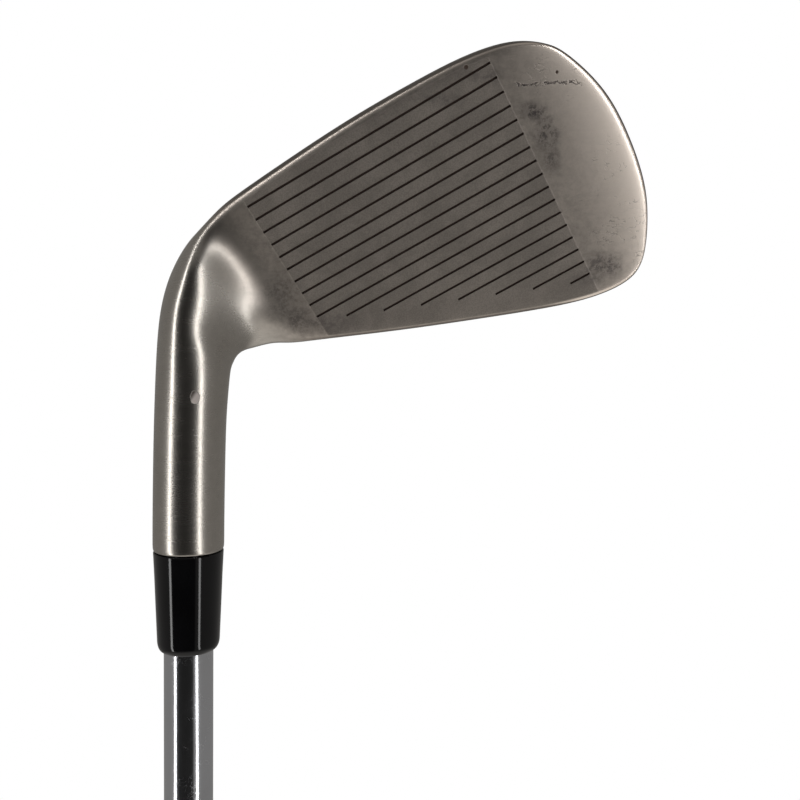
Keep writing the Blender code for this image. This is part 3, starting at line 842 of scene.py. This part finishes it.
def spot(tree, place, centre, reach, softness, raggedness=0.5, scale=700.0):
    """A mask round a point, 1 inside, with its reach along each axis; its edge is ragged."""
    away = put(tree, "ShaderNodeVectorMath", {0: place, 1: centre}, operation="SUBTRACT").outputs[0]
    scaled = put(tree, "ShaderNodeVectorMath", {0: away, 1: reach}, operation="DIVIDE").outputs[0]
    distance = put(tree, "ShaderNodeVectorMath", {0: scaled}, operation="LENGTH").outputs["Value"]
    ragged = math_node(tree, "MULTIPLY_ADD", noise(tree, place, scale, 3), raggedness, distance)
    edge = 1 + raggedness / 2
    return ramp(tree, ragged, edge + softness, edge - softness)


def strongest(tree, masks):
    total = masks[0]
    for mask in masks[1:]:
        total = math_node(tree, "MAXIMUM", total, mask)
    return total


def crackle(tree, place, zones):
    """A thin broken line across the toe that forks and wanders."""
    middle, reach, height, slope = CRACKLE
    past = math_node(tree, "SUBTRACT", zones["Along"], middle)
    ends = ramp(tree, math_node(tree, "ABSOLUTE", past), reach, reach * 0.8)
    drop = math_node(tree, "SUBTRACT", math_node(tree, "MULTIPLY_ADD", past, slope, zones["Up"]), height)
    lines = []
    for number, (scale, swing) in enumerate(((420, 0.0040), (700, 0.0026))):
        shift = (number * 0.013, number * 0.007, 0)
        moved = put(tree, "ShaderNodeVectorMath", {0: place, 1: shift}, operation="ADD").outputs[0]
        wander = math_node(tree, "SUBTRACT", noise(tree, moved, scale, 4, 0.7), 0.5)
        off = math_node(tree, "ABSOLUTE", math_node(tree, "MULTIPLY_ADD", wander, swing, drop))
        lines.append(ramp(tree, off, 0.00019, 0.00005))
    broken = ramp(tree, noise(tree, place, 1100, 2), 0.32, 0.44)
    return math_node(tree, "MULTIPLY", math_node(tree, "MULTIPLY", strongest(tree, lines), ends), broken)


def handling_marks(tree, place, zones):
    """Masks for the smudges, pits and hairline scratches that play has left on the toe; some smudges are
    painted shade.
    """
    # Smudges of tarnish, and patches of painted shade at the toe's corner
    smudges_and_shade = strongest(tree, [
        math_node(
            tree, "MULTIPLY", spot(tree, place, on_head(along, up, 0), reach, 0.8, 1.6, 350.0), strength)
        for along, up, reach, strength in SMUDGES_AND_PAINTED_SHADE
    ])
    pits = [spot(tree, place, on_head(along, up, 0), (size, size, size), 0.3) for along, up, size in PITS]
    pits = strongest(tree, [*pits, spot(tree, place, HOSEL_PIT, (0.00025, 0.0008, 0.00025), 0.3)])
    torn = math_node(tree, "MULTIPLY_ADD", ramp(tree, noise(tree, place, 900, 4, 0.8), 0.42, 0.60), 0.7, 0.3)
    smudges_and_shade = math_node(tree, "MULTIPLY", smudges_and_shade, torn)
    toe = ramp(tree, zones["Along"], TOE_LINE + 0.001, TOE_LINE + 0.005)
    hairs = math_node(tree, "MULTIPLY", scratches(tree, place, 900.0, 300.0, 0.02), toe)
    on_front = ramp(tree, zones["Depth"], 0.0015, 0.0008)
    marks = strongest(tree, [math_node(tree, "MULTIPLY", hairs, 0.5), crackle(tree, place, zones)])
    return smudges_and_shade, pits, math_node(tree, "MULTIPLY", marks, on_front)


def steel_finish():
    """Satin steel: turned marks on the hosel, brushed blade, blasted hitting area, dark grooves, with painted
    highlights and painted shade at the toe, the rims and a nick.
    """
    look = finishes()
    finish, tree, shader, place = new_finish("satin_steel")
    zones = grouped(tree, shared("Face Zones", face_zones_group), {"Place": place})
    smudges_and_shade, pits, hairs = handling_marks(tree, place, zones)
    nick = spot(tree, place, HOSEL_NICK, (0.00080, 0.00120, 0.00120), 0.12, 0.9)
    # Colour
    tint = cloudy(tree, place, 75.0, shades(look.steel, 1.05), shades(look.steel, 0.86))["Colour"]
    streaks = noise(tree, stretched(tree, place, (90, 700, 700)), 1.0, 4, 0.65)
    tint = blend_colour(tree, ramp(tree, streaks, 0.45, 0.78), tint, shades(look.steel, 0.74))
    mottle = ramp(tree, noise(tree, place, 620.0, 5, 0.85), 0.36, 0.66)
    tint = blend_colour(tree, math_node(tree, "MULTIPLY", mottle, 0.42), tint, shades(look.steel, 0.40))
    on_hosel = ramp(tree, zones["Along"], 0.010, -0.002)
    tint = blend_colour(tree, math_node(tree, "MULTIPLY", on_hosel, 0.7), tint, (0.47, 0.45, 0.415, 1))
    # Painted highlight: the colour grows lighter toward the toe, standing in for light caught by the face's
    # curve
    toe_painted_brightening = ramp(tree, zones["Along"], TOE_LINE, 0.080)
    tint = blend_colour(tree, toe_painted_brightening, tint, shades(look.steel, 1.7))
    dull = cloudy(tree, place, 130.0, shades(look.blasted, 1.10), shades(look.blasted, 0.88))["Colour"]
    speckle = grain(tree, place, 4200.0)
    specks = math_node(tree, "MULTIPLY", speckle["Mask"], 0.30)
    dull = blend_colour(tree, specks, dull, shades(look.blasted, 0.45))
    colour = blend_colour(tree, zones["Blasted"], tint, dull)
    # Painted highlight inside the toe and sole edges
    colour = blend_colour(tree, zones["Painted Highlight"], colour, shades(look.steel, 1.65))
    # Painted shade on the rims
    colour = blend_colour(tree, zones["Painted Rim Shade"], colour, shades(look.steel, 0.34))
    # Tarnish smudges, some of which are painted shade at the toe's corner
    colour = blend_colour(tree, smudges_and_shade, colour, solid(look.tarnish_and_shade))
    colour = blend_colour(tree, hairs, colour, solid(look.tarnish_and_shade))
    colour = blend_colour(tree, strongest(tree, [pits, zones["Groove"]]), colour, solid(look.groove))
    # The nick is painted lit on one side and shaded on the other, a painted highlight and painted shade
    lit = ramp(tree, dot(tree, place, (1, 0, -0.6)), HOSEL_NICK[0] - 0.6 * HOSEL_NICK[2] - 0.0007,
               HOSEL_NICK[0] - 0.6 * HOSEL_NICK[2] + 0.0002)
    painted_nick_light_and_shade = blend_colour(tree, lit, (0.12, 0.10, 0.09, 1), (0.66, 0.60, 0.57, 1))
    colour = blend_colour(tree, nick, colour, painted_nick_light_and_shade)
    feed(tree, shader, "Base Color", colour)
    # Sheen
    marks = turning(tree, place, 4200.0)
    smooth = blend(tree, on_hosel, 0.40, 0.23)
    smooth = math_node(tree, "MULTIPLY_ADD", marks["Mask"], 0.012, smooth)
    smooth = math_node(tree, "MULTIPLY_ADD", streaks, 0.06, smooth)
    rough = blend(tree, zones["Blasted"], smooth, 0.58)
    rough = blend(tree, zones["Painted Highlight"], rough, 0.26)
    rough = blend(tree, strongest(tree, [zones["Groove"], nick, pits]), rough, 0.85)
    feed(tree, shader, "Roughness", rough)
    bare = math_node(tree, "SUBTRACT", 1.0, math_node(tree, "MAXIMUM", zones["Groove"], pits))
    feed(tree, shader, "Metallic", math_node(tree, "MULTIPLY_ADD", nick, -0.6, bare))
    # Relief
    lines = math_node(tree, "MULTIPLY", marks["Height"], math_node(tree, "MULTIPLY", on_hosel, 0.008))
    blast = math_node(tree, "MULTIPLY", speckle["Height"], zones["Blasted"])
    dents = math_node(tree, "MULTIPLY_ADD", strongest(tree, [nick, hairs, pits]), -0.6, blast)
    bumped(tree, shader, math_node(tree, "ADD", lines, dents), 0.00004)
    return finish


# ---------------------------------------------------------------- the other finishes

def acetate_finish():
    look = finishes()
    finish, tree, shader, place = new_finish("ferrule_acetate")
    tint = cloudy(tree, place, 120.0, shades(look.acetate, 1.3), shades(look.acetate, 0.8))
    feed(tree, shader, "Base Color", tint["Colour"])
    marks = turning(tree, place, 3600.0)
    feed(tree, shader, "Roughness", math_node(tree, "MULTIPLY_ADD", marks["Mask"], 0.02, 0.065))
    feed(tree, shader, "IOR", 1.40)
    bumped(tree, shader, marks["Height"], 0.000002)
    return finish


def chrome_finish():
    look = finishes()
    finish, tree, shader, place = new_finish("plated_chrome")
    tint = cloudy(tree, place, 45.0, solid(look.chrome), shades(look.chrome, 0.93))
    feed(tree, shader, "Base Color", tint["Colour"])
    feed(tree, shader, "Metallic", 1.0)
    smears = noise(tree, stretched(tree, place, (1, 1, 0.35)), 260, 4, 0.6)
    scuffs = scratches(tree, place, 900.0, 900.0, 0.02)
    rough = math_node(tree, "MULTIPLY_ADD", ramp(tree, smears, 0.4, 0.75), 0.05, 0.14)
    rough = math_node(tree, "MULTIPLY_ADD", scuffs, 0.15, rough)
    feed(tree, shader, "Roughness", rough)
    bumped(tree, shader, smears, 0.000002)
    return finish


def film_finish():
    look = finishes()
    finish, tree, shader, place = new_finish("band_film")
    tint = cloudy(tree, place, 180.0, shades(look.film, 1.2), shades(look.film, 0.8))
    feed(tree, shader, "Base Color", tint["Colour"])
    fine = grain(tree, place, 2600.0)
    feed(tree, shader, "Roughness", math_node(tree, "MULTIPLY_ADD", fine["Mask"], 0.06, 0.26))
    bumped(tree, shader, fine["Height"], 0.000006)
    return finish


def rubber_finish():
    """Moulded rubber: rows of small raised pads with fine channels between, dusty in the lows."""
    look = finishes()
    finish, tree, shader, place = new_finish("grip_rubber")
    split = put(tree, "ShaderNodeSeparateXYZ", {"Vector": place}).outputs
    turn = math_node(tree, "ARCTAN2", split["Y"], split["X"])
    around = math_node(tree, "MULTIPLY", turn, PADS_AROUND)
    down = math_node(tree, "MULTIPLY", split["Z"], PADS_DOWN)
    one = math_node(tree, "SINE", math_node(tree, "ADD", around, down))
    two = math_node(tree, "SINE", math_node(tree, "SUBTRACT", around, down))
    pads = ramp(tree, math_node(tree, "ABSOLUTE", math_node(tree, "MULTIPLY", one, two)), *PAD_EDGE)
    low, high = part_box("grip")
    plain = math_node(
        tree, "MULTIPLY", ramp(tree, split["Z"], low.z + PATTERN_MARGIN - 0.001, low.z + PATTERN_MARGIN),
        ramp(tree, split["Z"], high.z - PATTERN_MARGIN, high.z - PATTERN_MARGIN - 0.001))
    pads = blend(tree, plain, 1.0, pads)
    tint = cloudy(tree, place, 55.0, shades(look.rubber, 1.25), shades(look.rubber, 0.85))["Colour"]
    tint = blend_colour(tree, pads, shades(look.rubber, 1.9), tint)
    feed(tree, shader, "Base Color", tint)
    fine = grain(tree, place, 3800.0)
    feed(tree, shader, "Roughness", math_node(tree, "MULTIPLY_ADD", fine["Mask"], 0.14, 0.62))
    bumped(tree, shader, fine["Height"], 0.00002)
    return finish


def cap_finish():
    look = finishes()
    finish, tree, shader, place = new_finish("cap_rubber")
    tint = cloudy(tree, place, 150.0, shades(look.rubber, 1.5), shades(look.rubber, 0.9))
    feed(tree, shader, "Base Color", tint["Colour"])
    fine = grain(tree, place, 3000.0)
    feed(tree, shader, "Roughness", math_node(tree, "MULTIPLY_ADD", fine["Mask"], 0.12, 0.46))
    bumped(tree, shader, fine["Height"], 0.00002)
    return finish


def inner_finish(name, light, dark, metallic, roughness, grains):
    finish, tree, shader, place = new_finish(name)
    tint = cloudy(tree, place, 220.0, solid(light), solid(dark))
    feed(tree, shader, "Base Color", tint["Colour"])
    feed(tree, shader, "Metallic", metallic)
    fine = grain(tree, place, grains)
    feed(tree, shader, "Roughness", math_node(tree, "MULTIPLY_ADD", fine["Mask"], 0.12, roughness))
    bumped(tree, shader, fine["Height"], 0.00003)
    return finish


# ---------------------------------------------------------------- operators, one for each piece

class IRONCLUB_OT_head(bpy.types.Operator):
    """Build the forged head: hosel, heel, blade, grooves and back cavity"""

    bl_idname = "iron_club.head"
    bl_label = "Head"

    def execute(self, context):
        mesh = head_mesh()
        mesh.name = "head"
        mesh.materials.clear()
        mesh.materials.append(steel_finish())
        mesh.shade_smooth()
        mesh.set_sharp_from_angle(angle=math.radians(SHARP_DEGREES))
        head = bpy.data.objects.new("head", mesh)
        context.scene.collection.objects.link(head)
        settle(head, "club_head")
        return {"FINISHED"}


class IRONCLUB_OT_ferrule(bpy.types.Operator):
    """Build the tapered collar that covers the joint between hosel and shaft"""

    bl_idname = "iron_club.ferrule"
    bl_label = "Ferrule"

    def execute(self, context):
        low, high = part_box("ferrule")
        top, bottom = high.z, low.z
        profile = [
            (high.x - 0.00012, top), (high.x, top - 0.00012),
            (high.x - 0.00022, top - FERRULE_SHOULDER), (sizes().ferrule_waist, (top + bottom) / 2),
        ]
        swing = sizes().ferrule_foot - FERRULE_END_RADIUS
        for step in range(FERRULE_ROUND_STEPS + 1):
            angle = math.radians(90 * step / FERRULE_ROUND_STEPS)
            profile.append((
                FERRULE_END_RADIUS + swing * math.cos(angle),
                bottom + FERRULE_ROUNDING * (1 - math.sin(angle))))
        profile += [(FERRULE_BORE, bottom), (FERRULE_BORE, top)]
        turned("ferrule_collar", profile, acetate_finish(), "ferrule")
        return {"FINISHED"}


class IRONCLUB_OT_shaft(bpy.types.Operator):
    """Build the stepped steel shaft and the film band on it"""

    bl_idname = "iron_club.shaft"
    bl_label = "Shaft and band"

    def execute(self, context):
        low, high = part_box("shaft")
        tip = sizes().shaft_tip
        rise = sizes().step_rise
        butt = tip + SHAFT_STEPS * rise
        profile = [(tip - 0.0002, high.z), (tip, high.z - 0.0002)]
        for number in range(SHAFT_STEPS):
            height = high.z - FIRST_STEP - number * STEP_PITCH
            radius = tip + number * rise
            profile += [
                (radius, height + 0.0004), (radius + rise * 0.12, height),
                (radius + rise * 0.88, height - 0.0012), (radius + rise, height - 0.0016)]
        profile += [
            (butt, low.z), (butt - BUTT_WALL, low.z), (butt - BUTT_WALL, BORE_TAPER_LOW),
            (TIP_BORE, high.z - BORE_TAPER_HIGH), (TIP_BORE, high.z)]
        turned("shaft_tube", profile, chrome_finish(), "shaft")
        low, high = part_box("shaft_band")
        inner = butt + BAND_GAP
        edge = BAND_GAP
        profile = [
            (high.x - edge, high.z), (high.x, high.z - edge),
            (high.x, low.z + edge), (high.x - edge, low.z), (inner, low.z), (inner, high.z)]
        turned("film_band", profile, film_finish(), "shaft_band")
        return {"FINISHED"}


def smooth_step(value, start, end):
    """0 before the start, 1 past the end, and a smooth curve between."""
    share = min(max((value - start) / (end - start), 0), 1)
    return share * share * (3 - 2 * share)


def channel_depth(place, low, high):
    """How far the grip's pattern is pressed in at a point of its outside."""
    around = math.atan2(place.y, place.x) * PADS_AROUND
    down = place.z * PADS_DOWN
    pad = smooth_step(abs(math.sin(around + down) * math.sin(around - down)), *PAD_EDGE)
    inside = smooth_step(place.z, low.z + PATTERN_MARGIN - 0.001, low.z + PATTERN_MARGIN)
    inside *= smooth_step(-place.z, PATTERN_MARGIN - high.z, PATTERN_MARGIN + 0.001 - high.z)
    outside = place.xy.length > sizes().grip_bore + GRIP_WALL
    return CHANNEL_DEPTH * (1 - pad) * inside * outside


class IRONCLUB_OT_grip(bpy.types.Operator):
    """Build the rubber grip and its end cap"""

    bl_idname = "iron_club.grip"
    bl_label = "Grip and cap"

    def execute(self, context):
        low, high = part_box("grip")
        butt = high.x
        neck = high.z - GRIP_NECK_LENGTH
        flare = low.z + GRIP_FLARE_LENGTH
        inner = sizes().grip_bore
        profile = [
            (inner, high.z), (0.0089, high.z), *arc(0.0089, high.z - 0.0006, 0.0006, 80, 0, 4),
            (0.0096, high.z - 0.0022), (0.0097, high.z - 0.0036), (0.00935, high.z - 0.0042),
            (0.00935, high.z - 0.0048), (0.0098, high.z - 0.0053), (GRIP_NECK, neck)]
        bend = round((neck - flare) / GRIP_ROW)
        for step in range(1, bend):
            share = step / bend
            height = neck + (flare - neck) * share
            radius = GRIP_NECK + (butt - GRIP_FLARE_DROP - GRIP_NECK) * (share * 0.72 + share ** 3 * 0.28)
            profile.append((radius, height))
        profile += [
            (butt - GRIP_FLARE_DROP, flare), (butt - 0.0003, flare - 0.008), (butt, low.z + 0.004),
            *arc(butt - 0.0004, low.z + 0.0004, 0.0004, 0, -80, 4), (inner, low.z)]
        turned("grip_sleeve", profile, rubber_finish(), "grip", GRIP_SIDES,
               lambda place: channel_depth(place, low, high))
        low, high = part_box("grip_cap")
        rim = high.x
        rounding = CAP_ROUNDING
        profile = [
            (0.0015, high.z), (0.0056, high.z), (0.0058, high.z - 0.0002), (0.0058, CAP_SEAT),
            (rim - 0.0003, CAP_SEAT), (rim, CAP_SEAT - 0.0003),
            *arc(rim - rounding, rounding, rounding, 0, -90, 8),
            (0.0096, 0.0), (0.0093, 0.0003), (0.0088, 0.0003),
            (0.0085, 0.0), (0.0024, 0.0), (0.0015, 0.0006)]
        turned("end_cap", profile, cap_finish(), "grip_cap")
        return {"FINISHED"}


class IRONCLUB_OT_inner(bpy.types.Operator):
    """Finish the pieces hidden inside: adhesive, swing weight and grip tape"""

    bl_idname = "iron_club.inner"
    bl_label = "Inner pieces"

    def execute(self, context):
        wanted = {
            "hosel_epoxy": inner_finish(
                "cured_adhesive", (0.60, 0.54, 0.40), (0.48, 0.42, 0.30), 0.0, 0.35, 900.0),
            "tip_weight": inner_finish(
                "turned_brass", (0.62, 0.46, 0.20), (0.50, 0.36, 0.15), 1.0, 0.30, 2500.0),
            "grip_tape": inner_finish(
                "paper_tape", (0.78, 0.73, 0.58), (0.68, 0.62, 0.48), 0.0, 0.65, 1800.0),
        }
        for node, finish in wanted.items():
            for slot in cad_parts[node].material_slots:
                slot.material = finish
        return {"FINISHED"}


# ---------------------------------------------------------------- the studio

def azimuth_way(degrees):
    """A level direction, measured from the way the face looks toward the toe's side."""
    turn = math.radians(degrees)
    return Vector((math.sin(turn), -math.cos(turn), 0))


def strip_light(name, middle, azimuth, distance, width, height, power, lean):
    """A tall soft strip that faces the club, its foot leaning out toward the toe's side."""
    light = bpy.data.lights.new(name, "AREA")
    light.shape = "RECTANGLE"
    light.size = width
    light.size_y = height
    light.energy = power
    made = bpy.data.objects.new(name, light)
    way = azimuth_way(azimuth)
    made.location = middle + way * distance
    facing = (middle - made.location).to_track_quat("-Z", "Y")
    made.rotation_euler = (facing @ Quaternion((0, 0, 1), math.radians(lean))).to_euler()
    made.visible_camera = False
    bpy.context.scene.collection.objects.link(made)
    return made


def studio_world():
    """White to the camera; to the club a grey room, dark on the side the camera stands."""
    world = bpy.data.worlds.new("studio")
    world.use_nodes = True
    tree = world.node_tree
    tree.nodes.clear()
    way = tree.nodes.new("ShaderNodeTexCoord").outputs["Generated"]
    split = put(tree, "ShaderNodeSeparateXYZ", {"Vector": way}).outputs
    forward = math_node(tree, "MULTIPLY", split["Y"], -1.0)
    azimuth = math_node(tree, "ARCTAN2", split["X"], forward)
    past_left = ramp(tree, azimuth, math.radians(-33), math.radians(-39))
    past_right = ramp(tree, azimuth, math.radians(42), math.radians(50))
    sides = math_node(tree, "ADD", past_left, past_right)
    overhead = ramp(tree, split["Z"], 0.45, 0.85)
    room = math_node(tree, "MAXIMUM", sides, overhead)
    level = blend(tree, room, 0.018, 0.26)
    below = ramp(tree, split["Z"], -0.56, -0.80)
    level = blend(tree, below, level, 0.75)
    grey = put(tree, "ShaderNodeBackground", {"Color": (1.0, 0.97, 0.93, 1), "Strength": level}).outputs[0]
    white = put(tree, "ShaderNodeBackground", {"Color": (1, 1, 1, 1), "Strength": 1.0}).outputs[0]
    seen = tree.nodes.new("ShaderNodeLightPath").outputs["Is Camera Ray"]
    mixed = put(tree, "ShaderNodeMixShader", {0: seen, 1: grey, 2: white}).outputs[0]
    put(tree, "ShaderNodeOutputWorld", {"Surface": mixed})
    bpy.context.scene.world = world


def floor_finish():
    """A pale floor that goes to white in the distance."""
    finish, tree, shader, place = new_finish("pale_floor")
    soft = cloudy(tree, place, 1.5, (0.80, 0.80, 0.80, 1), (0.76, 0.76, 0.76, 1))["Colour"]
    feed(tree, shader, "Base Color", soft)
    feed(tree, shader, "Roughness", 0.8)
    reach = put(tree, "ShaderNodeVectorMath", {0: place}, operation="LENGTH").outputs["Value"]
    far = ramp(tree, reach, 0.25, 1.3)
    seen = tree.nodes.new("ShaderNodeLightPath").outputs["Is Camera Ray"]
    share = math_node(tree, "MULTIPLY", far, seen)
    white = put(tree, "ShaderNodeEmission", {"Color": (1, 1, 1, 1), "Strength": 1.0}).outputs[0]
    mixed = put(tree, "ShaderNodeMixShader", {0: share, 1: shader.outputs[0], 2: white}).outputs[0]
    tree.links.new(mixed, tree.nodes["Material Output"].inputs["Surface"])
    return finish


def floor():
    bm = bmesh.new()
    bmesh.ops.create_circle(bm, cap_ends=True, segments=96, radius=6.0, matrix=Matrix.Identity(4))
    made = loose_object("floor", bm)
    made.data.materials.append(floor_finish())
    made.visible_glossy = False


def camera():
    data = bpy.data.cameras.new("camera")
    data.lens = CAMERA_LENS
    data.sensor_width = 36.0
    data.clip_start = 0.01
    data.clip_end = 50.0
    made = bpy.data.objects.new("camera", data)
    ahead = CAMERA_AHEAD.normalized()
    side = (CAMERA_SIDE - ahead * CAMERA_SIDE.dot(ahead)).normalized()
    above = side.cross(ahead)
    turn = Matrix((side, above, -ahead)).transposed().to_4x4()
    made.matrix_world = Matrix.Translation(CAMERA_PLACE) @ turn
    bpy.context.scene.collection.objects.link(made)
    bpy.context.scene.camera = made


class IRONCLUB_OT_studio(bpy.types.Operator):
    """Set up the floor, the soft lights and the camera"""

    bl_idname = "iron_club.studio"
    bl_label = "Studio"

    def execute(self, context):
        floor()
        for name, (rise, *settings) in STRIPS.items():
            strip_light(name, LIT_MIDDLE + Vector((0, 0, rise)), *settings)
        studio_world()
        camera()
        context.scene.view_settings.view_transform = "Standard"
        return {"FINISHED"}


class IRONCLUB_PT_panel(bpy.types.Panel):
    """The club's pieces, with their sizes and finishes"""

    bl_idname = "IRONCLUB_PT_panel"
    bl_label = "Iron Club"
    bl_space_type = "VIEW_3D"
    bl_region_type = "UI"
    bl_category = "Iron Club"

    def draw(self, context):
        layout = self.layout
        for group in (context.scene.iron_club_sizes, context.scene.iron_club_finishes):
            box = layout.box()
            for name in group.__annotations__:
                box.prop(group, name)
        for operator in OPERATORS:
            layout.operator(operator.bl_idname)


OPERATORS = (
    IRONCLUB_OT_head,
    IRONCLUB_OT_ferrule,
    IRONCLUB_OT_shaft,
    IRONCLUB_OT_grip,
    IRONCLUB_OT_inner,
    IRONCLUB_OT_studio,
)
CLASSES = (IronClubSizes, IronClubFinishes, *OPERATORS, IRONCLUB_PT_panel)


def register():
    for item in CLASSES:
        bpy.utils.register_class(item)
    bpy.types.Scene.iron_club_sizes = PointerProperty(type=IronClubSizes)
    bpy.types.Scene.iron_club_finishes = PointerProperty(type=IronClubFinishes)


def unregister():
    del bpy.types.Scene.iron_club_finishes
    del bpy.types.Scene.iron_club_sizes
    for item in reversed(CLASSES):
        bpy.utils.unregister_class(item)


def main():
    register()
    bpy.ops.iron_club.head()
    bpy.ops.iron_club.ferrule()
    bpy.ops.iron_club.shaft()
    bpy.ops.iron_club.grip()
    bpy.ops.iron_club.inner()
    bpy.ops.iron_club.studio()


if __name__ == "__main__":
    main()
